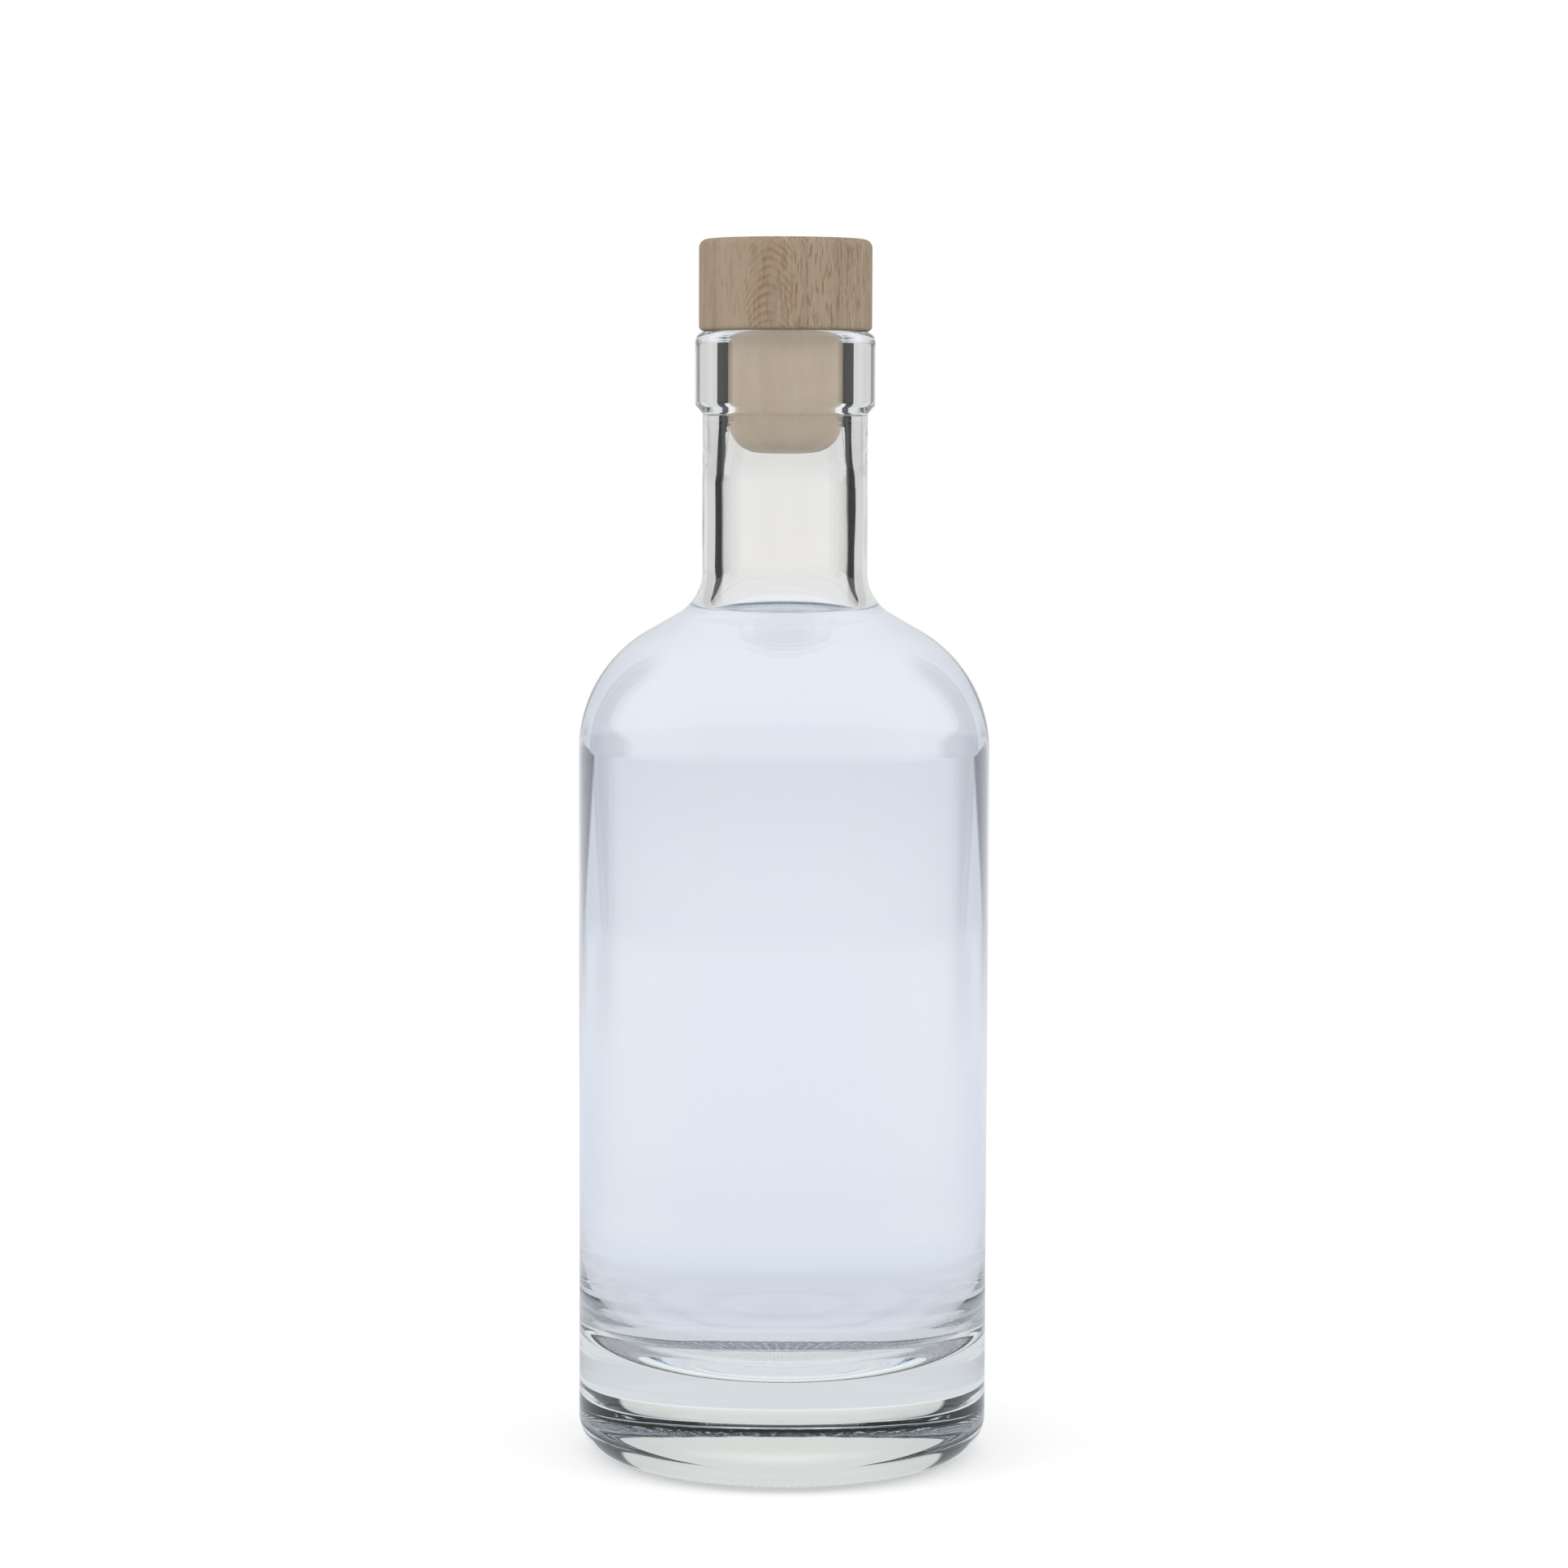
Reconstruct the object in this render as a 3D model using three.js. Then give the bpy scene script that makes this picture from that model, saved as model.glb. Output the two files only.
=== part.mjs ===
// A round spirits bottle of clear glass with a heavy base, filled to the root of
// its neck with a pale clear drink and closed by a T-stopper: a turned wooden head
// glued on a moulded shank. Every piece is turned about the Z axis.
// Millimetres, +Z up, origin at the centre of the foot, where the bottle stands.

import * as THREE from "three";

// Mouth and neck of the glass, worked out from the hole that the stopper fits
const boreRadius = 9.5; // hole that grips the stopper's shank
const seatLength = 13.6; // straight length of that hole
const seatTaper = 12; // length over which it opens gently below
const seatStep = 0.9; // how much wider the neck is inside, below the seat
const neckWall = 3.2;
const collarOverhang = 1.25; // how far the mouth's collar stands out of the neck
const collarHeight = 13.55;
const collarBevel = 0.95; // slanting underside of the collar
const collarFootRound = 1.2;
const collarTopRound = 1.9;
const lipRound = 1.2; // inner edge of the mouth
const neckLength = 25.8; // straight neck, from the shoulder's fillet to the collar

// Ridges left where the parts of the mould met
const partingDrop = 1.75; // from the mouth down to the collar's ridge
const partingStep = 0.15; // how far the collar is drawn in above that ridge
const ridgeHeight = 0.06;
const ridgeWidth = 0.5;
const neckRidgeDrop = 0.8; // from the collar's underside down to the neck's ridge

// Shoulder, body and base of the glass
const bodyRadius = 34;
const straightTop = 117.5; // height at which the straight side ends
const bodyWall = 2.7;
const shoulderRound = 22.6;
const shoulderSteepness = 60; // degrees between the shoulder's cone and upright
const neckFillet = 8.2;
const heelRound = 6.1;
const footWidth = 3.3; // flat ring that the bottle stands on
const puntHeight = 3.4; // hollow under the base
const baseThickness = 15.5; // glass under the drink, beside its middle
const floorCorner = 19; // oval inner corner between the side and the floor: its reach inwards
const floorRise = 14; // and upwards
const floorDome = 0.5; // rise of the floor at its middle

// Drink
const headspace = 27.7; // from the stopper's shank down to the drink's surface
const drinkGap = 0.3; // all round, so that drink and glass stay apart

// T-stopper
const headOverhang = 4.75; // how far the wooden head reaches past the bore
const headHeight = 15;
const headTopRound = 1.4;
const headFootRound = 0.8;
const shankLength = 19.2; // below the head
const shankGap = 0.1; // between the shank and the bore
const shankRound = 4.7; // leading edge, rounded so that it enters easily
const spigotStep = 2; // how much thinner the shank is inside the head
const spigotLength = 8;
const glueGap = 0.1;

const facets = 48; // flat sides round each piece
const arcStep = 12; // degrees from point to point on a small round
const gentleStep = 7.5; // degrees from point to point on a large round
const capSteps = 5; // points along a shallow dome
const taperSteps = 6; // points along the bore's widening

const radians = THREE.MathUtils.degToRad;

// Points on a round, from one angle to another, in degrees from the outward radius.
// A height of its own makes the round an oval.
function arc(r, z, radius, from, to, step = arcStep, height = radius) {
  const steps = Math.ceil(Math.abs(to - from) / step);
  const round = new THREE.EllipseCurve(r, z, radius, height, radians(from), radians(to), to < from);
  return round.getPoints(steps);
}

// Points on a shallow dome, from its middle on the axis out to its edge.
function dome(edgeRadius, edgeHeight, rise) {
  const radius = (edgeRadius ** 2 + rise ** 2) / (2 * rise);
  const points = [];
  for (let i = 0; i <= capSteps; i++) {
    const r = (edgeRadius * i) / capSteps;
    points.push(new THREE.Vector2(r, edgeHeight + rise - radius + Math.sqrt(radius ** 2 - r ** 2)));
  }
  return points;
}

const point = (r, z) => new THREE.Vector2(r, z);

// A solid turned about the Z axis from an outline that starts and ends on the axis
// or closes on itself, with the solid on the outline's left.
function turned(name, outline, material) {
  const geometry = new THREE.LatheGeometry(outline, facets).rotateX(Math.PI / 2);
  const mesh = new THREE.Mesh(geometry, material);
  mesh.name = name;
  return mesh;
}

// Shoulder of the glass: a large round, a cone and a hollow fillet into the neck.
// inset 0 gives the outside, bodyWall the inside, and a little more the drink.
const steepness = radians(shoulderSteepness);
function shoulder(inset, neckRadius, fillet) {
  const round = shoulderRound - inset;
  const centreRadius = bodyRadius - shoulderRound;
  const roundEnd = point(
    centreRadius + round * Math.cos(steepness),
    straightTop + round * Math.sin(steepness)
  );
  const filletStart = neckRadius + fillet * (1 - Math.cos(steepness));
  const filletStartHeight = roundEnd.y + (roundEnd.x - filletStart) / Math.tan(steepness);
  const neckStart = filletStartHeight + fillet * Math.sin(steepness);
  const points = [
    ...arc(centreRadius, straightTop, round, 0, shoulderSteepness, gentleStep),
    ...arc(neckRadius + fillet, neckStart, fillet, 180 + shoulderSteepness, 180),
  ];
  return { points, neckStart };
}

const neckBore = boreRadius + seatStep;
const neckRadius = neckBore + neckWall;
const collarRadius = neckRadius + collarOverhang;
const outerShoulder = shoulder(0, neckRadius, neckFillet);
const collarFoot = outerShoulder.neckStart + neckLength;
const mouthHeight = collarFoot + collarHeight;
const shankFoot = mouthHeight - shankLength;

// Inside of the glass below the neck's seat, from the middle of the floor upwards.
function cavity(gap) {
  const inner = shoulder(bodyWall + gap, neckBore - gap, neckFillet + neckWall + gap);
  const cornerRadius = bodyRadius - bodyWall - floorCorner;
  const cornerHeight = baseThickness + floorRise;
  const corner = arc(
    cornerRadius, cornerHeight, floorCorner - gap, 270, 360, arcStep, floorRise - gap
  );
  return [
    ...dome(cornerRadius, baseThickness + gap, floorDome),
    ...corner.slice(1),
    ...inner.points,
  ];
}

// The bore's easy widening below the seat, from below.
function widening() {
  const points = [];
  for (let i = 0; i <= taperSteps; i++) {
    const share = (1 - Math.cos((Math.PI * i) / taperSteps)) / 2;
    const height = mouthHeight - seatLength - seatTaper * (1 - i / taperSteps);
    points.push(point(neckBore - seatStep * share, height));
  }
  return points;
}

// A small ridge round a wall, from below: the wall's radius may change at it.
function ridge(height, radiusBelow, radiusAbove) {
  return [
    point(radiusBelow, height - ridgeWidth / 2),
    point(Math.max(radiusBelow, radiusAbove) + ridgeHeight, height),
    point(radiusAbove, height + ridgeWidth / 2),
  ];
}

// Blown glass: foot, heel, side, shoulder, neck and collar outside, then the inside
// from the mouth down to the floor.
function bottleOutline() {
  const footRadius = bodyRadius - heelRound;
  const puntRadius = footRadius - footWidth;
  const bevelEnd = collarFoot + collarBevel;
  const footRoundHeight = bevelEnd + collarFootRound * Math.SQRT1_2;
  const collarTop = collarRadius - partingStep;
  const topRise = partingDrop - ridgeWidth / 2;
  return [
    ...dome(puntRadius, 0, puntHeight),
    ...arc(footRadius, heelRound, heelRound, 270, 360),
    ...outerShoulder.points,
    ...ridge(collarFoot - neckRidgeDrop, neckRadius, neckRadius),
    point(neckRadius, collarFoot),
    ...arc(collarRadius - collarFootRound, footRoundHeight, collarFootRound, 315, 360),
    ...ridge(mouthHeight - partingDrop, collarRadius, collarTop),
    ...arc(collarTop - collarTopRound, mouthHeight - topRise, collarTopRound, 0, 90, arcStep, topRise),
    ...arc(boreRadius + lipRound, mouthHeight - lipRound, lipRound, 90, 180),
    ...widening().reverse(),
    ...cavity(0).reverse(),
  ];
}

// The drink fills the inside up to its level.
function drinkOutline() {
  const level = shankFoot - headspace;
  const wall = [...cavity(drinkGap), point(neckBore - drinkGap, shankFoot)];
  const above = wall.findIndex((p) => p.y > level);
  const [low, high] = [wall[above - 1], wall[above]];
  const brim = low.clone().lerp(high, (level - low.y) / (high.y - low.y));
  return [...wall.slice(0, above), brim, point(0, level)];
}

// Stopper's shank: rounded at its foot, with a thinner spigot glued in the head.
const shankRadius = boreRadius - shankGap;
const spigotRadius = shankRadius - spigotStep;
function shankOutline() {
  return [
    point(0, shankFoot),
    ...arc(shankRadius - shankRound, shankFoot + shankRound, shankRound, 270, 360),
    point(shankRadius, mouthHeight),
    point(spigotRadius, mouthHeight),
    point(spigotRadius, mouthHeight + spigotLength),
    point(0, mouthHeight + spigotLength),
  ];
}

// Stopper's head: a wooden disc with rounded edges and a blind hole for the spigot.
function headOutline() {
  const radius = boreRadius + headOverhang;
  const top = mouthHeight + headHeight;
  const hole = spigotRadius + glueGap;
  const holeTop = mouthHeight + spigotLength + glueGap;
  return [
    point(0, holeTop),
    point(hole, holeTop),
    point(hole, mouthHeight),
    ...arc(radius - headFootRound, mouthHeight + headFootRound, headFootRound, 270, 360),
    ...arc(radius - headTopRound, top - headTopRound, headTopRound, 0, 90),
    point(0, top),
  ];
}

const clearGlass = new THREE.MeshStandardMaterial({
  color: 0xe9f0ee,
  roughness: 0.03,
  metalness: 0,
  transparent: true,
  opacity: 0.35,
});
const paleDrink = new THREE.MeshStandardMaterial({
  color: 0xdbe6f4,
  roughness: 0.05,
  metalness: 0,
  transparent: true,
  opacity: 0.5,
});
const maple = new THREE.MeshStandardMaterial({ color: 0xb9a58c, roughness: 0.65, metalness: 0 });
const creamPlastic = new THREE.MeshStandardMaterial({ color: 0xcabfa8, roughness: 0.55, metalness: 0 });

const bottle = new THREE.Group();
bottle.add(turned("glass_bottle", bottleOutline(), clearGlass));
bottle.add(turned("drink", drinkOutline(), paleDrink));

const stopper = new THREE.Group();
stopper.add(turned("stopper_shank", shankOutline(), creamPlastic));
stopper.add(turned("stopper_head", headOutline(), maple));

const part = new THREE.Group();
part.add(bottle, stopper);

export default part;
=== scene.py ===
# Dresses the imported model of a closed, filled glass bottle for a studio photograph.
# Metres throughout, in the model's own frame: +Z up, origin at the centre of the foot.

import math

import bpy
from mathutils import Euler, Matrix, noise


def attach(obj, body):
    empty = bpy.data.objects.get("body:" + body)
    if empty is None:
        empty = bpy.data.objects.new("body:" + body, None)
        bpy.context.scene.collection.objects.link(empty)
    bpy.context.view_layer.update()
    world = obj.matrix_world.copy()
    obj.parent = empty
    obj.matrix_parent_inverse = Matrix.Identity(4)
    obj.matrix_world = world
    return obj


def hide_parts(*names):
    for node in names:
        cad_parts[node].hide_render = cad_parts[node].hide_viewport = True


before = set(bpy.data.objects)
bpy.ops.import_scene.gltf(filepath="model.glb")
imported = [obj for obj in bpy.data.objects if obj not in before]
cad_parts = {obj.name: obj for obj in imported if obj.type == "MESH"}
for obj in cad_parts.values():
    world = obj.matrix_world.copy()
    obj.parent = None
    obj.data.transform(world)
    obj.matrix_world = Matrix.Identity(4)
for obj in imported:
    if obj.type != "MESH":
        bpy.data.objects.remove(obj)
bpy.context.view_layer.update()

# The studio: a pale table top, a white surround, and a dark flag on each side behind the
# bottle, which draws the dark lines down the edges of clear glass. The camera stands in
# front, a little above the shoulder, and looks slightly down.

MM = 0.001
camera_distance, camera_height, focal_length = 0.7145, 0.1725, 99.19
view_pitch, view_roll = math.radians(-4.867), math.radians(0.19)

camera = bpy.data.objects.new("camera", bpy.data.cameras.new("camera"))
bpy.context.scene.collection.objects.link(camera)
camera.data.sensor_width = 36
camera.data.lens = focal_length
camera.data.clip_start = 0.01
camera.location = (0, -camera_distance, camera_height)
camera.rotation_mode = "QUATERNION"
camera.rotation_quaternion = (
    Euler((math.pi / 2 + view_pitch, 0, 0)).to_quaternion() @ Euler((0, 0, view_roll)).to_quaternion()
)
bpy.context.scene.camera = camera


def add_node(tree, kind, place=None, **settings):
    """A new node with its settings; place gives input sockets by name or number, as values or as links."""
    node = tree.nodes.new(kind)
    for key, value in settings.items():
        setattr(node, key, value)
    for socket, value in (place or {}).items():
        if isinstance(value, bpy.types.NodeSocket):
            tree.links.new(value, node.inputs[socket])
        else:
            node.inputs[socket].default_value = value
    return node


def reckon(tree, operation, *values):
    """A sum on numbers or links, as a socket."""
    return add_node(tree, "ShaderNodeMath", dict(enumerate(values)), operation=operation).outputs[0]


def product(tree, first, *others):
    """All the values multiplied, as a socket."""
    for other in others:
        first = reckon(tree, "MULTIPLY", first, other)
    return first


def ramp_between(tree, value, low, high, from_value=0.0, to_value=1.0):
    """A smooth step of value from low to high, as a socket."""
    places = {"Value": value, "From Min": low, "From Max": high, "To Min": from_value, "To Max": to_value}
    return add_node(tree, "ShaderNodeMapRange", places, interpolation_type="SMOOTHSTEP").outputs[0]


def blend(tree, share, first, second):
    """A mix of two colours, each (red, green, blue) or a link, as a socket."""
    places = {"Factor": share}
    for socket, colour in ((6, first), (7, second)):
        places[socket] = colour if isinstance(colour, bpy.types.NodeSocket) else (*colour, 1)
    return add_node(tree, "ShaderNodeMix", places, data_type="RGBA").outputs[2]


def plain_noise(tree, vector, scale, detail):
    """A noise that is the same in every direction, as a socket."""
    places = {"Vector": vector, "Scale": scale, "Detail": detail}
    return add_node(tree, "ShaderNodeTexNoise", places).outputs["Fac"]


def bare_material(name):
    """A material without nodes, and its node tree."""
    material = bpy.data.materials.new(name)
    material.use_nodes = True
    material.node_tree.nodes.clear()
    return material, material.node_tree


world = bpy.data.worlds.new("studio")
bpy.context.scene.world = world
world.use_nodes = True
room = world.node_tree
room.nodes.clear()

# Where a ray goes, in degrees: its azimuth from straight behind the bottle, alike to the left and
# the right, and its height over the horizon. Only rays from the glass see the flags and the roof.
way = add_node(room, "ShaderNodeSeparateXYZ", {0: add_node(room, "ShaderNodeTexCoord").outputs["Generated"]})
sideways = reckon(room, "ABSOLUTE", way.outputs["X"])
azimuth = reckon(room, "DEGREES", reckon(room, "ARCTAN2", sideways, way.outputs["Y"]))
height = reckon(room, "DEGREES", reckon(room, "ARCSINE", way.outputs["Z"]))
sight = add_node(room, "ShaderNodeLightPath").outputs
through_glass = reckon(room, "MAXIMUM", sight["Is Glossy Ray"], sight["Is Transmission Ray"])

# The flags are widest about the horizon, where the body's edges show them. They are narrower
# towards the table, and high up, so that the shoulder doesn't mirror them.
flag_start = reckon(room, "SUBTRACT", ramp_between(room, height, -7.4, -4.2, 57.0, 44.5),
                    ramp_between(room, height, -4.0, -3.0, 0.0, 4.5))
flag_end = reckon(room, "SUBTRACT", ramp_between(room, height, -4.2, -3.0, 65.0, 80.0),
                  ramp_between(room, height, 4.0, 10.0, 0.0, 20.0))
past_start = ramp_between(room, reckon(room, "SUBTRACT", azimuth, flag_start), -1.5, 1.5)
before_end = ramp_between(room, reckon(room, "SUBTRACT", azimuth, flag_end), -2.5, 2.5, 1.0, 0.0)
over_table = ramp_between(room, height, -8.6, -7.4)
under_roof = ramp_between(room, height, 30.0, 45.0, 1.0, 0.0)
low_haze = ramp_between(room, height, -8.2, -5.6, 0.45, 1.0)
flag = product(room, past_start, before_end, through_glass, low_haze, over_table, under_roof)
roof = product(room, ramp_between(room, height, 24.0, 50.0), through_glass)

# The surround's tones, from the back wall round to the front
back_wall = blend(room, ramp_between(room, height, -5.0, 9.0), (0.835, 0.82, 0.81), (0.74, 0.735, 0.73))
back_wall = blend(room, ramp_between(room, azimuth, 8.0, 42.0, 0.0, 0.3), back_wall, (0.40, 0.40, 0.41))
back_wall = blend(room, ramp_between(room, azimuth, 50.0, 70.0), back_wall, (0.90, 0.90, 0.90))
low_wall = blend(room, ramp_between(room, height, -6.6, -4.4), (0.87, 0.875, 0.91), (0.78, 0.80, 0.84))
low_wall = blend(room, ramp_between(room, azimuth, 18.0, 60.0), low_wall, (0.61, 0.635, 0.70))
tone = blend(room, ramp_between(room, height, -4.2, -3.2), low_wall, back_wall)
tone = blend(room, ramp_between(room, azimuth, 95.0, 150.0), tone, (0.80, 0.80, 0.81))
tone = blend(room, roof, tone, (0.97, 0.97, 0.97))
tone = blend(room, flag, tone, (0.004, 0.004, 0.005))
tone = blend(room, sight["Is Camera Ray"], tone, (1, 1, 1))
surround = add_node(room, "ShaderNodeBackground", {"Color": tone, "Strength": 1.0})
add_node(room, "ShaderNodeOutputWorld", {"Surface": surround.outputs[0]})

table_radius, table_fade, table_drop, rim_points = 0.78, 0.12, 0.2 * MM, 96
rim_angles = [math.tau * i / rim_points for i in range(rim_points)]
table_rim = [(table_radius * math.cos(a), table_radius * math.sin(a), -table_drop) for a in rim_angles]
table_mesh = bpy.data.meshes.new("table_top")
table_mesh.from_pydata(table_rim, [], [range(rim_points)])
table_top = bpy.data.objects.new("table_top", table_mesh)
bpy.context.scene.collection.objects.link(table_top)
table_paint, coat = bare_material("white_table")
where = add_node(coat, "ShaderNodeTexCoord").outputs["Object"]
white = blend(coat, plain_noise(coat, where, 60.0, 3.0), (0.80, 0.80, 0.80), (0.82, 0.82, 0.82))
matt = add_node(coat, "ShaderNodeBsdfDiffuse", {"Color": white})
rays = add_node(coat, "ShaderNodeLightPath").outputs
lift = add_node(coat, "ShaderNodeEmission", {"Color": (1, 1, 1, 1), "Strength": 0.40})
lifted = add_node(coat, "ShaderNodeAddShader", {0: matt.outputs[0], 1: lift.outputs[0]})

# What the glass shows of the table glows and is painted: a painted shadow of the bottle, tinted blue by the
# drink, darkens it towards the bottle, painted shade darkens it off to the sides, and a painted shadow of the
# flags falls on it.
# spread is the distance from the bottle, and bearing is in degrees from straight behind it.
spread = add_node(coat, "ShaderNodeVectorMath", {0: where}, operation="LENGTH").outputs["Value"]
place_on = add_node(coat, "ShaderNodeSeparateXYZ", {0: where})
to_side = reckon(coat, "ABSOLUTE", place_on.outputs["X"])
bearing = reckon(coat, "DEGREES", reckon(coat, "ARCTAN2", to_side, place_on.outputs["Y"]))
# Painted shadow of the bottle on the table, tinted blue by the drink a little further out, fading to the open
# table.
painted_table_shade = (0.73, 0.74, 0.785)
for start, end, colour in (
    (0.12, 0.16, (0.80, 0.83, 0.885)),
    (0.16, 0.20, (0.87, 0.865, 0.90)),
    (0.20, 0.34, (0.91, 0.91, 0.936)),
):
    painted_table_shade = blend(coat, ramp_between(coat, spread, start, end), painted_table_shade, colour)
# Painted shade darkens the table off to the sides.
painted_side_shade = product(coat, ramp_between(coat, bearing, 18.0, 62.0), ramp_between(coat, spread, 0.14, 0.20),
                   ramp_between(coat, spread, 0.28, 0.48, 1.0, 0.75))
painted_table_shade = blend(coat, painted_side_shade, painted_table_shade, (0.69, 0.72, 0.80))
# Painted shadow of the flags on the table.
flag_shade = product(coat, ramp_between(coat, bearing, 47.0, 57.0),
                     ramp_between(coat, bearing, 66.0, 74.0, 1.0, 0.0),
                     ramp_between(coat, spread, 0.38, 0.76, 0.0, 0.8))
painted_table_shade = blend(coat, flag_shade, painted_table_shade, (0.05, 0.05, 0.06))
# For rays from the glass the table glows with this painted shade in place of its lit colour.
painted_table_glow = add_node(coat, "ShaderNodeEmission", {"Color": painted_table_shade, "Strength": 1.0})
by_camera = add_node(coat, "ShaderNodeMixShader",
                     {0: rays["Is Camera Ray"], 1: matt.outputs[0], 2: lifted.outputs[0]})
in_glass = reckon(coat, "MAXIMUM", rays["Is Glossy Ray"], rays["Is Transmission Ray"])
table_look = add_node(coat, "ShaderNodeMixShader", {0: in_glass, 1: by_camera.outputs[0], 2: painted_table_glow.outputs[0]})
# Its rim fades into the white
gone = add_node(coat, "ShaderNodeBsdfTransparent")
edge = add_node(coat, "ShaderNodeMixShader", {
    0: ramp_between(coat, spread, table_radius - table_fade, table_radius),
    1: table_look.outputs[0], 2: gone.outputs[0]})
add_node(coat, "ShaderNodeOutputMaterial", {"Surface": edge.outputs[0]})
table_mesh.materials.append(table_paint)

lamp_side, lamp_front, lamp_height, lamp_size, lamp_tilt, lamp_turn = 1.05, 0.5, 0.9, 0.7, 52, 63
for name, side, power in (("soft_light_left", -1, 3.5), ("soft_light_right", 1, 2.9)):
    lamp = bpy.data.lights.new(name, "AREA")
    lamp.shape = "RECTANGLE"
    lamp.size = lamp.size_y = lamp_size
    lamp.energy = power
    lamp_object = bpy.data.objects.new(name, lamp)
    lamp_object.location = (side * lamp_side, -lamp_front, lamp_height)
    lamp_object.rotation_euler = Euler((math.radians(lamp_tilt), 0, math.radians(side * lamp_turn)), "XYZ")
    lamp_object.visible_glossy = lamp_object.visible_transmission = False
    bpy.context.scene.collection.objects.link(lamp_object)

scene = bpy.context.scene
scene.view_settings.view_transform = "Standard"
scene.cycles.max_bounces = 32
scene.cycles.transmission_bounces = 32
scene.cycles.glossy_bounces = 12
scene.cycles.transparent_max_bounces = 16

# The bottle: clear flint glass, pressed and blown in a two-part mould, so that its body is
# true to the mould and its neck a little wavy. The collar and the neck carry the fine ridges
# where the mould's ring met its halves, and the foot is a flat stippled ring.

# Sizes in mm and degrees
bore_radius, seat_length, seat_taper, seat_step = 9.5, 13.6, 12.0, 0.9
neck_wall, neck_length, neck_fillet = 3.2, 25.8, 8.2
neck_root_round, neck_root_drop = 0.7, 0.25
collar_overhang, collar_height, collar_bevel = 1.25, 13.55, 0.95
collar_foot_round, collar_top_round, lip_round = 1.5, 1.9, 1.2
parting_drop, parting_step, ridge_height, ridge_width, neck_ridge_drop = 1.75, 0.12, 0.015, 0.6, 0.9
body_radius, straight_top, body_wall, shoulder_round, cone_angle = 34.0, 117.5, 2.7, 22.6, 60.0
heel_round, foot_width, punt_height = 6.1, 3.3, 3.4
base_thickness, floor_corner, floor_depth, floor_dome = 15.5, 19.0, 14.0, 0.5
neck_bore = bore_radius + seat_step
neck_radius = neck_bore + neck_wall
collar_radius = neck_radius + collar_overhang
longest_piece, bend_margin, round_facets, small_facets = 4.0, 0.12, 192, 144


def bow(r, z, radius, start, end, step=3.0, tall=None):
    """Points on a round of a profile, in degrees from the outward radius; tall makes it an oval."""
    count = max(2, math.ceil(abs(end - start) / step))
    angles = [math.radians(start + (end - start) * i / count) for i in range(count + 1)]
    return [(r + radius * math.cos(a), z + (tall or radius) * math.sin(a)) for a in angles]


def cap(edge_radius, edge_height, rise, count=14):
    """Points on a shallow dome of a profile, from the axis to its edge."""
    radius = (edge_radius**2 + rise**2) / (2 * rise)
    radii = [edge_radius * i / count for i in range(count + 1)]
    return [(r, edge_height + rise - radius + math.sqrt(radius**2 - r**2)) for r in radii]


def shoulder_line(inset, neck, fillet):
    """A shoulder's profile: a large round, a cone and a hollow fillet, and where the neck starts."""
    lean = math.radians(cone_angle)
    big = shoulder_round - inset
    end_r = body_radius - shoulder_round + big * math.cos(lean)
    end_z = straight_top + big * math.sin(lean)
    fillet_z = end_z + (end_r - neck - fillet * (1 - math.cos(lean))) / math.tan(lean)
    neck_start = fillet_z + fillet * math.sin(lean)
    return (bow(body_radius - shoulder_round, straight_top, big, 0, cone_angle, 2.0)
            + bow(neck + fillet, neck_start, fillet, 180 + cone_angle, 180)), neck_start


def eased(points, longest=longest_piece):
    """A profile with its long straights cut up, and a short stretch kept beside each bend."""
    cut = [points[0]]
    for (r0, z0), (r1, z1) in zip(points, points[1:]):
        length = math.hypot(r1 - r0, z1 - z0)
        if length < 1e-6:
            continue
        shares = [1.0]
        if length > 1.0:
            pieces = max(1, math.ceil(length / longest))
            margin = bend_margin / length
            shares = sorted({margin, 1 - margin, 1.0} | {i / pieces for i in range(1, pieces)})
        cut += [(r0 + (r1 - r0) * s, z0 + (z1 - z0) * s) for s in shares]
    return cut


def turn_mesh(name, profile, segments, shift=None):
    """A solid turned about Z from its profile in mm, which runs from the axis to the axis with the
    solid on its left. shift gives a change of radius by a point's angle, radius and height."""
    vertices, rings = [], []
    for r, z in profile:
        if r < 1e-9:
            vertices.append((0, 0, z * MM))
            rings.append([len(vertices) - 1])
            continue
        ring = []
        for i in range(segments):
            a = math.tau * i / segments
            out = (r + (shift(a, r, z) if shift else 0)) * MM
            vertices.append((out * math.cos(a), out * math.sin(a), z * MM))
            ring.append(len(vertices) - 1)
        rings.append(ring)
    faces = []
    for low, high in zip(rings, rings[1:]):
        for i in range(segments):
            j = (i + 1) % segments
            if len(low) == 1:
                faces.append((low[0], high[j], high[i]))
            elif len(high) == 1:
                faces.append((low[i], low[j], high[0]))
            else:
                faces.append((low[i], low[j], high[j], high[i]))
    mesh = bpy.data.meshes.new(name)
    mesh.from_pydata(vertices, [], faces)
    mesh.validate()
    mesh.polygons.foreach_set("use_smooth", [True] * len(mesh.polygons))
    piece = bpy.data.objects.new(name, mesh)
    bpy.context.scene.collection.objects.link(piece)
    return piece


outer_shoulder, neck_start = shoulder_line(0, neck_radius, neck_fillet)
inner_shoulder, _ = shoulder_line(body_wall, neck_bore, neck_fillet + neck_wall)
collar_foot = neck_start + neck_length
mouth_height = collar_foot + collar_height
foot_radius = body_radius - heel_round
floor_radius = body_radius - body_wall - floor_corner
floor_edge = base_thickness + floor_depth
seat_end = mouth_height - seat_length
collar_top = collar_radius - parting_step
top_rise = parting_drop - ridge_width / 2


def parting_ridge(height, below, above):
    """A low round ridge on a profile, between the radii below and above it."""
    half, flank, crest = ridge_width / 2, 0.55, 0.12
    tip = max(below, above) + ridge_height
    return [
        (below, height - half), (below + (tip - below) * flank, height - half / 2),
        (tip, height - half * crest), (tip, height + half * crest),
        (above + (tip - above) * flank, height + half / 2), (above, height + half)]


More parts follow.
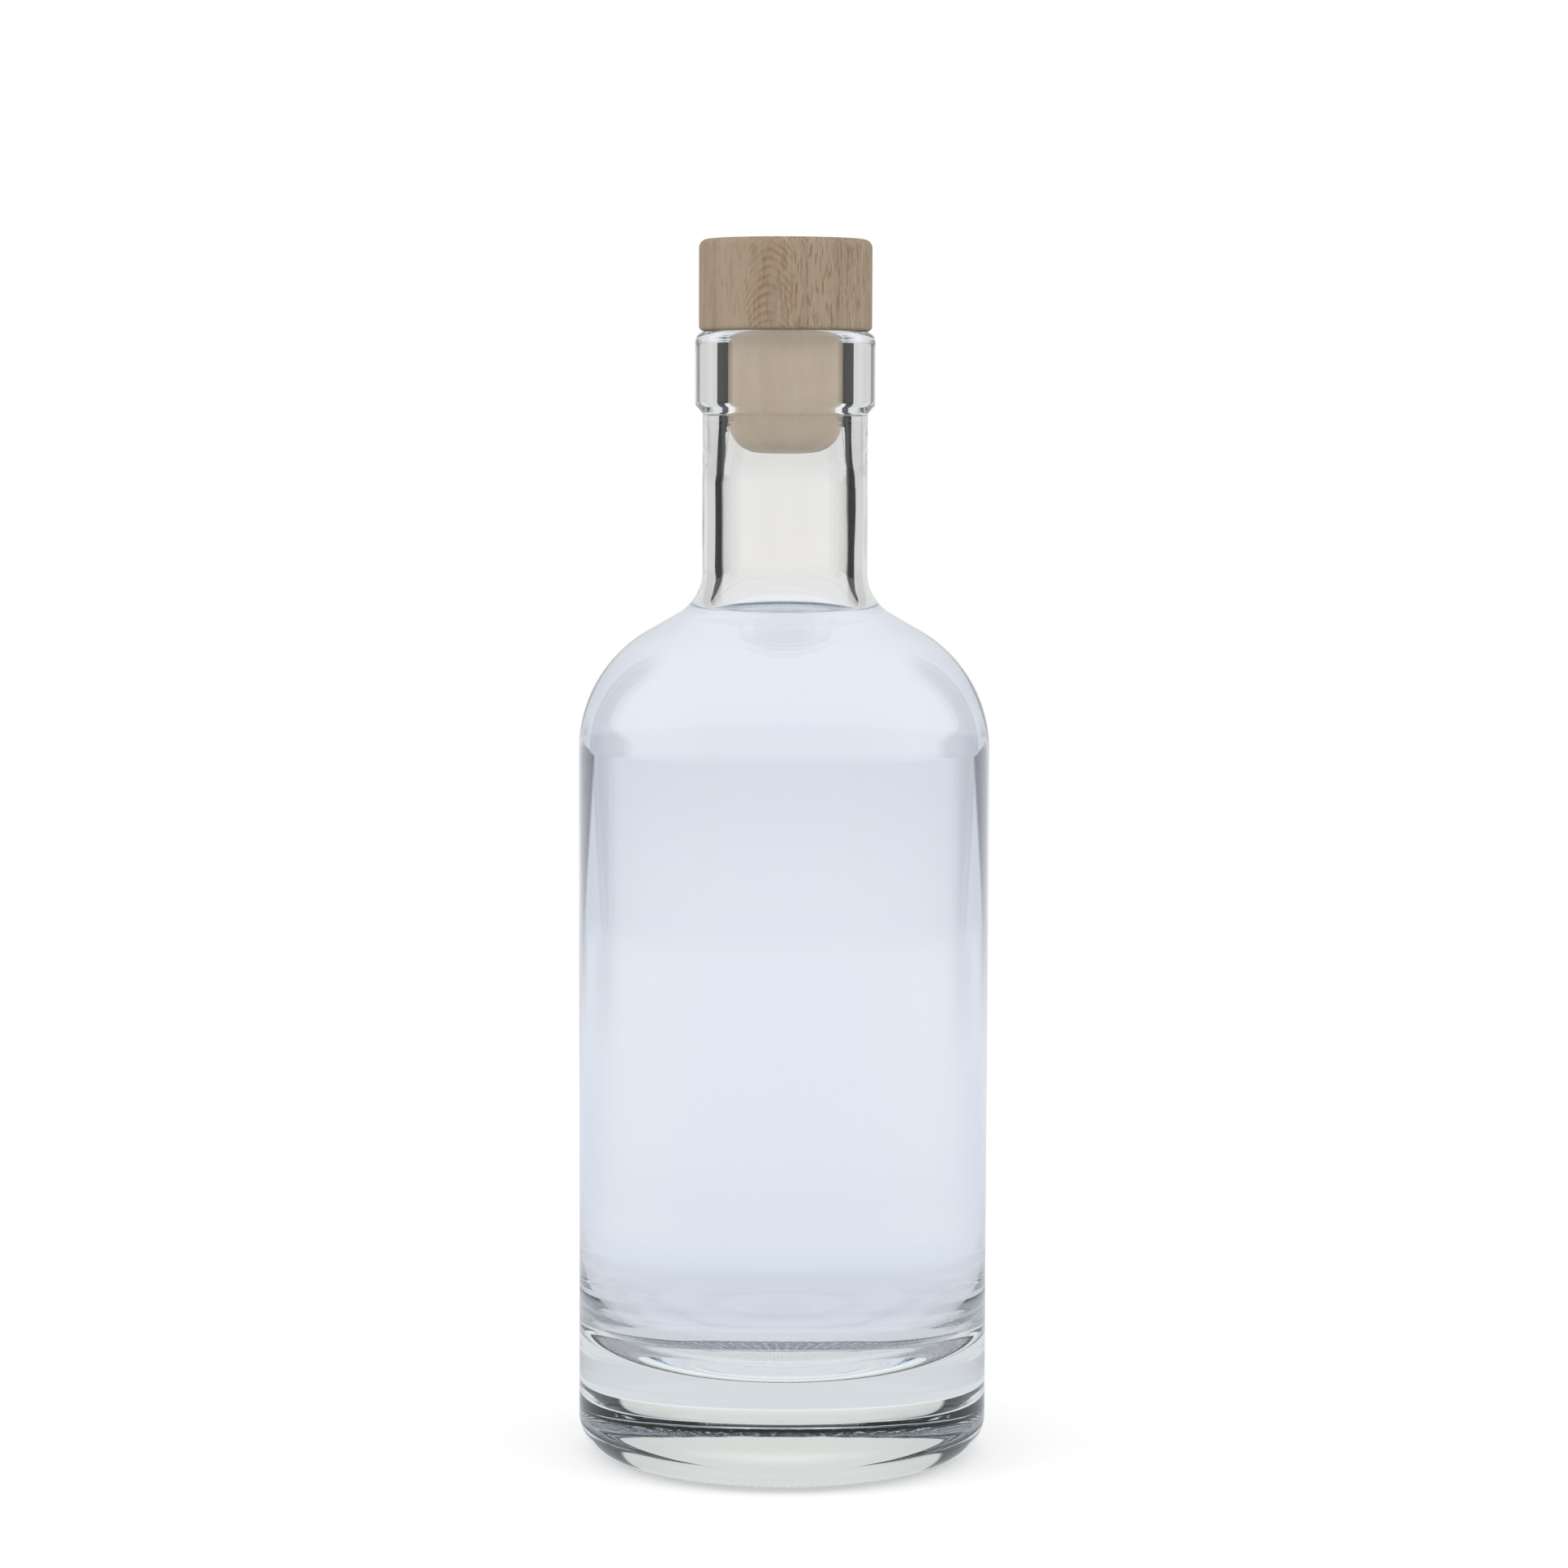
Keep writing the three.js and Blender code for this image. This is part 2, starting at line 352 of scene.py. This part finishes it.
cavity_line = eased(
    cap(floor_radius, base_thickness, floor_dome)
    + bow(floor_radius, floor_edge, floor_corner, 270, 360, 2.0, floor_depth)[1:]
    + inner_shoulder + [(neck_bore, seat_end - seat_taper)])
taper_points = 12
widening = [(bore_radius + seat_step * (0.5 + 0.5 * math.cos(math.pi * i / taper_points)),
             seat_end - seat_taper * (1 - i / taper_points)) for i in range(taper_points + 1)]
seat_line = eased(widening + bow(bore_radius + lip_round, mouth_height - lip_round, lip_round, 180, 90, 9.0))
outside_line = eased(
    cap(foot_radius - foot_width, 0, punt_height)
    + bow(foot_radius, heel_round, heel_round, 270, 360)
    + outer_shoulder
    + parting_ridge(collar_foot - neck_ridge_drop, neck_radius, neck_radius)
    + bow(neck_radius + neck_root_round, collar_foot - neck_root_drop, neck_root_round, 180, 130, 10.0)
    + bow(collar_radius - collar_foot_round, collar_foot + collar_bevel + collar_foot_round * math.sqrt(0.5),
          collar_foot_round, 310, 360, 6.0)
    + parting_ridge(mouth_height - parting_drop, collar_radius, collar_top)
    + bow(collar_top - collar_top_round, mouth_height - top_rise, collar_top_round, 0, 90, 6.0, top_rise))


def blown_neck(a, r, z):
    """The slight waves of the neck's wall, inside and outside, as a change of radius. They fade
    towards the seat and the shoulder, and leave the collar true."""
    fade_up, fade_down, seat_margin, wall_reach = 9, 8, 1, 4
    wave_depth, fine_depth = 0.07, 0.03
    if r > neck_bore + wall_reach or z < neck_start - fade_down:
        return 0
    below_seat = min(1, max(0, (seat_end - seat_margin - z) / fade_up))
    above_shoulder = min(1, max(0, (z - neck_start + fade_down) / fade_down))
    wave = noise.noise((math.cos(a) * 1.6, math.sin(a) * 1.6, z * 0.16))
    fine = noise.noise((math.cos(a) * 3.0 + 7, math.sin(a) * 3.0, z * 0.45))
    return below_seat * above_shoulder * (wave_depth * wave + fine_depth * fine)


# Noise drawn out along the bottle's axis, a node group for the glass's ripple, the foam's streaks
# and the wood's grain. Across and Along are the noise's scales, per metre.
grain = bpy.data.node_groups.new("upright_grain", "ShaderNodeTree")
for socket_name, usual in (("Across", 400.0), ("Along", 60.0), ("Detail", 2.0)):
    entry = grain.interface.new_socket(socket_name, in_out="INPUT", socket_type="NodeSocketFloat")
    entry.default_value = usual
grain.interface.new_socket("Value", in_out="OUTPUT", socket_type="NodeSocketFloat")
given = add_node(grain, "NodeGroupInput").outputs
three_scales = add_node(grain, "ShaderNodeCombineXYZ", {
    "X": given["Across"], "Y": given["Across"], "Z": given["Along"]}).outputs[0]
drawn_out = add_node(grain, "ShaderNodeMapping", {
    "Vector": add_node(grain, "ShaderNodeTexCoord").outputs["Object"], "Scale": three_scales}).outputs[0]
add_node(grain, "NodeGroupOutput", {"Value": plain_noise(grain, drawn_out, 1.0, given["Detail"])})


def upright_grain(tree, across_scale, along_scale, detail):
    """The grain group placed in a material, as a socket."""
    group = add_node(tree, "ShaderNodeGroup", node_tree=grain)
    for socket, value in (("Across", across_scale), ("Along", along_scale), ("Detail", detail)):
        group.inputs[socket].default_value = value
    return group.outputs["Value"]


glass_line = outside_line + seat_line[:0:-1] + cavity_line[::-1]
glass = turn_mesh("bottle_glass", glass_line, round_facets, blown_neck)
flint, melt = bare_material("flint_glass")
spot = add_node(melt, "ShaderNodeTexCoord").outputs["Object"]
place = add_node(melt, "ShaderNodeSeparateXYZ", {0: spot})
ripple = add_node(melt, "ShaderNodeBump", {
    "Height": upright_grain(melt, 60.0, 14.0, 1.0), "Strength": 1.0, "Distance": 0.04 * MM})
on_foot = ramp_between(melt, place.outputs["Z"], 0.3 * MM, 0.9 * MM, 1.0, 0.0)
around = reckon(melt, "ARCTAN2", place.outputs["Y"], place.outputs["X"])
knurl = reckon(melt, "ABSOLUTE", reckon(melt, "SINE", reckon(melt, "MULTIPLY", around, 90.0)))
grit = reckon(melt, "MULTIPLY", plain_noise(melt, spot, 1500.0, 2.0), 1.6)
rough_ring = reckon(melt, "ADD", knurl, grit)
stipple = add_node(melt, "ShaderNodeBump", {
    "Height": reckon(melt, "MULTIPLY", rough_ring, on_foot), "Strength": 1.0, "Distance": 0.5 * MM,
    "Normal": ripple.outputs[0]})
haze = ramp_between(melt, on_foot, 0.2, 1.0, 0.0, 0.12)
body_of_glass = add_node(melt, "ShaderNodeBsdfPrincipled", {
    "Base Color": (1, 1, 1, 1), "Metallic": 0.0, "Roughness": haze, "IOR": 1.52, "Transmission Weight": 1.0,
    "Normal": stipple.outputs[0]})
tint = add_node(melt, "ShaderNodeVolumeAbsorption", {"Color": (0.66, 0.84, 0.74, 1), "Density": 4.0})
add_node(melt, "ShaderNodeOutputMaterial", {"Surface": body_of_glass.outputs[0], "Volume": tint.outputs[0]})
glass.data.materials.append(flint)
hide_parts("glass_bottle")
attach(glass, "bottle")

# The drink: a clear liquid with a breath of blue, filled to the root of the neck. It wets the
# glass all over, so its skin lies a hair inside the wall, and it climbs the wall at its rim.

head_room, shank_length, skin = 27.7, 19.2, 0.04
climb, climb_fade, hollow, climb_points = 1.9, 6.8, 1.2, 28
level = mouth_height - shank_length - head_room - hollow
wetted = [(r + skin if i else 0.0, z - (skin if z < floor_edge else 0))
          for i, (r, z) in enumerate(cavity_line) if z < level + climb]
rim_radius = wetted[-1][0]
settled = math.exp(-climb_fade)
meniscus = [(rim_radius * (1 - t), level + climb * (math.exp(-climb_fade * t) - settled) / (1 - settled))
            for t in [(i / climb_points) ** 1.5 for i in range(climb_points + 1)]]
drink = turn_mesh("drink_body", eased(wetted) + meniscus, round_facets)
liquor, liquid = bare_material("pale_drink")
stir = plain_noise(liquid, add_node(liquid, "ShaderNodeTexCoord").outputs["Object"], 30.0, 0.0)
swell = add_node(liquid, "ShaderNodeBump", {"Height": stir, "Strength": 1.0, "Distance": 0.01 * MM})
clear = add_node(liquid, "ShaderNodeBsdfPrincipled", {
    "Base Color": (1, 1, 1, 1), "Metallic": 0.0, "Roughness": 0.0, "IOR": 1.35, "Transmission Weight": 1.0,
    "Normal": swell.outputs[0]})
blue = add_node(liquid, "ShaderNodeVolumeAbsorption", {"Color": (0.1, 0.45, 0.9, 1), "Density": 2.4})
add_node(liquid, "ShaderNodeOutputMaterial", {"Surface": clear.outputs[0], "Volume": blue.outputs[0]})
drink.data.materials.append(liquor)
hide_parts("drink")
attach(drink, "bottle")

# The stopper's shank: smooth closed-cell foam, moulded in cream with faint streaks along it.
# Its foot is well rounded to enter the bore, and its thinner spigot is glued in the head.

bore_gap, shank_round, shank_edge, spigot_step, spigot_length, straight_piece = 0.1, 4.7, 0.05, 2.0, 8.0, 2.0
shank_radius = bore_radius - bore_gap
shank_foot = mouth_height - shank_length
spigot_radius = shank_radius - spigot_step
spigot_top = mouth_height + spigot_length
shank_line = eased(
    [(0, shank_foot)]
    + bow(shank_radius - shank_round, shank_foot + shank_round, shank_round, 270, 360)
    + [(shank_radius, mouth_height - shank_edge), (shank_radius - shank_edge, mouth_height),
       (spigot_radius, mouth_height), (spigot_radius, spigot_top), (0, spigot_top)], straight_piece)
shank = turn_mesh("shank_foam", shank_line, small_facets)
foam, moulding = bare_material("cream_foam")
inside = add_node(moulding, "ShaderNodeTexCoord").outputs["Object"]
clouds = plain_noise(moulding, inside, 260.0, 2.0)
mottle = reckon(moulding, "ADD", reckon(moulding, "MULTIPLY", upright_grain(moulding, 420.0, 60.0, 3.0), 0.65),
                reckon(moulding, "MULTIPLY", clouds, 0.35))
cream = blend(moulding, ramp_between(moulding, mottle, 0.3, 0.7), (0.87, 0.68, 0.46), (0.95, 0.775, 0.56))
cells = plain_noise(moulding, inside, 2600.0, 1.0)
pores = add_node(moulding, "ShaderNodeBump", {"Height": cells, "Strength": 0.4, "Distance": 0.04 * MM})
foam_skin = add_node(moulding, "ShaderNodeBsdfPrincipled", {
    "Base Color": cream, "Roughness": ramp_between(moulding, mottle, 0.2, 0.8, 0.5, 0.62),
    "Normal": pores.outputs[0]})
add_node(moulding, "ShaderNodeOutputMaterial", {"Surface": foam_skin.outputs[0]})
shank.data.materials.append(foam)
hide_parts("stopper_shank")
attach(shank, "stopper")

# The stopper's head: a disc turned from pale wood with its grain upright, sanded and sealed
# matt, with softened edges and a blind hole underneath for the shank's spigot.

head_overhang, head_height, head_top_round, head_foot_round, glue = 4.75, 15.0, 1.4, 0.8, 0.1
head_radius = bore_radius + head_overhang
head_top = mouth_height + head_height
hole_radius, hole_top = spigot_radius + glue, spigot_top + glue
head_line = eased(
    [(0, hole_top), (hole_radius, hole_top), (hole_radius, mouth_height)]
    + bow(head_radius - head_foot_round, mouth_height + head_foot_round, head_foot_round, 270, 360, 9.0)
    + bow(head_radius - head_top_round, head_top - head_top_round, head_top_round, 0, 90, 9.0)
    + [(0, head_top)], straight_piece)
head = turn_mesh("head_wood", head_line, small_facets)
wood, timber = bare_material("pale_wood")
piece = add_node(timber, "ShaderNodeTexCoord").outputs["Object"]
across = add_node(timber, "ShaderNodeSeparateXYZ", {0: piece})
fibres = upright_grain(timber, 2400.0, 120.0, 3.0)
bands = upright_grain(timber, 420.0, 14.0, 3.0)
ticks = upright_grain(timber, 3000.0, 380.0, 1.0)
flecks = upright_grain(timber, 420.0, 240.0, 2.0)
drift = upright_grain(timber, 300.0, 110.0, 2.0)
# Growth rings come out as small arches, one above the other, in a narrow upright band of the front
pith_x, arch_round, arch_spacing, arch_drift = -2.6 * MM, 2.1 * MM, 1.4 * MM, 1.6 * MM
beside_pith = reckon(timber, "SUBTRACT", across.outputs["X"], pith_x)
arch = reckon(timber, "DIVIDE", reckon(timber, "MULTIPLY", beside_pith, beside_pith), 2 * arch_round)
arch_height = reckon(timber, "ADD", reckon(timber, "ADD", across.outputs["Z"], arch),
                     reckon(timber, "MULTIPLY", drift, arch_drift))
ring_share = reckon(timber, "FRACT", reckon(timber, "DIVIDE", arch_height, arch_spacing))
in_band = ramp_between(timber, reckon(timber, "ABSOLUTE", beside_pith), 2.6 * MM, 4.6 * MM, 1.0, 0.15)
late_wood = product(timber, in_band, ramp_between(timber, ring_share, 0.35, 0.8),
                    ramp_between(timber, ring_share, 0.9, 1.0, 1.0, 0.0),
                    ramp_between(timber, flecks, 0.42, 0.6, 0.18, 1.0))
tick_share = product(timber, ramp_between(timber, beside_pith, -3.0 * MM, 4.5 * MM, 0.35, 1.0),
                     ramp_between(timber, ticks, 0.53, 0.63, 0.0, 0.8))
grain_colour = blend(timber, ramp_between(timber, bands, 0.3, 0.7), (0.31, 0.233, 0.158), (0.405, 0.312, 0.216))
grain_colour = blend(timber, late_wood, grain_colour, (0.28, 0.145, 0.06))
grain_colour = blend(timber, tick_share, grain_colour, (0.22, 0.125, 0.06))
pale_fibre = ramp_between(timber, fibres, 0.3, 0.7, 0.0, 0.45)
grain_colour = blend(timber, pale_fibre, grain_colour, (0.45, 0.357, 0.257))
furrows = add_node(timber, "ShaderNodeBump", {
    "Height": reckon(timber, "ADD", fibres, ticks), "Strength": 0.8, "Distance": 0.12 * MM})
sealed = add_node(timber, "ShaderNodeBsdfPrincipled", {
    "Base Color": grain_colour, "Roughness": ramp_between(timber, fibres, 0.3, 0.7, 0.58, 0.72),
    "Normal": furrows.outputs[0]})
add_node(timber, "ShaderNodeOutputMaterial", {"Surface": sealed.outputs[0]})
head.data.materials.append(wood)
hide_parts("stopper_head")
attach(head, "stopper")
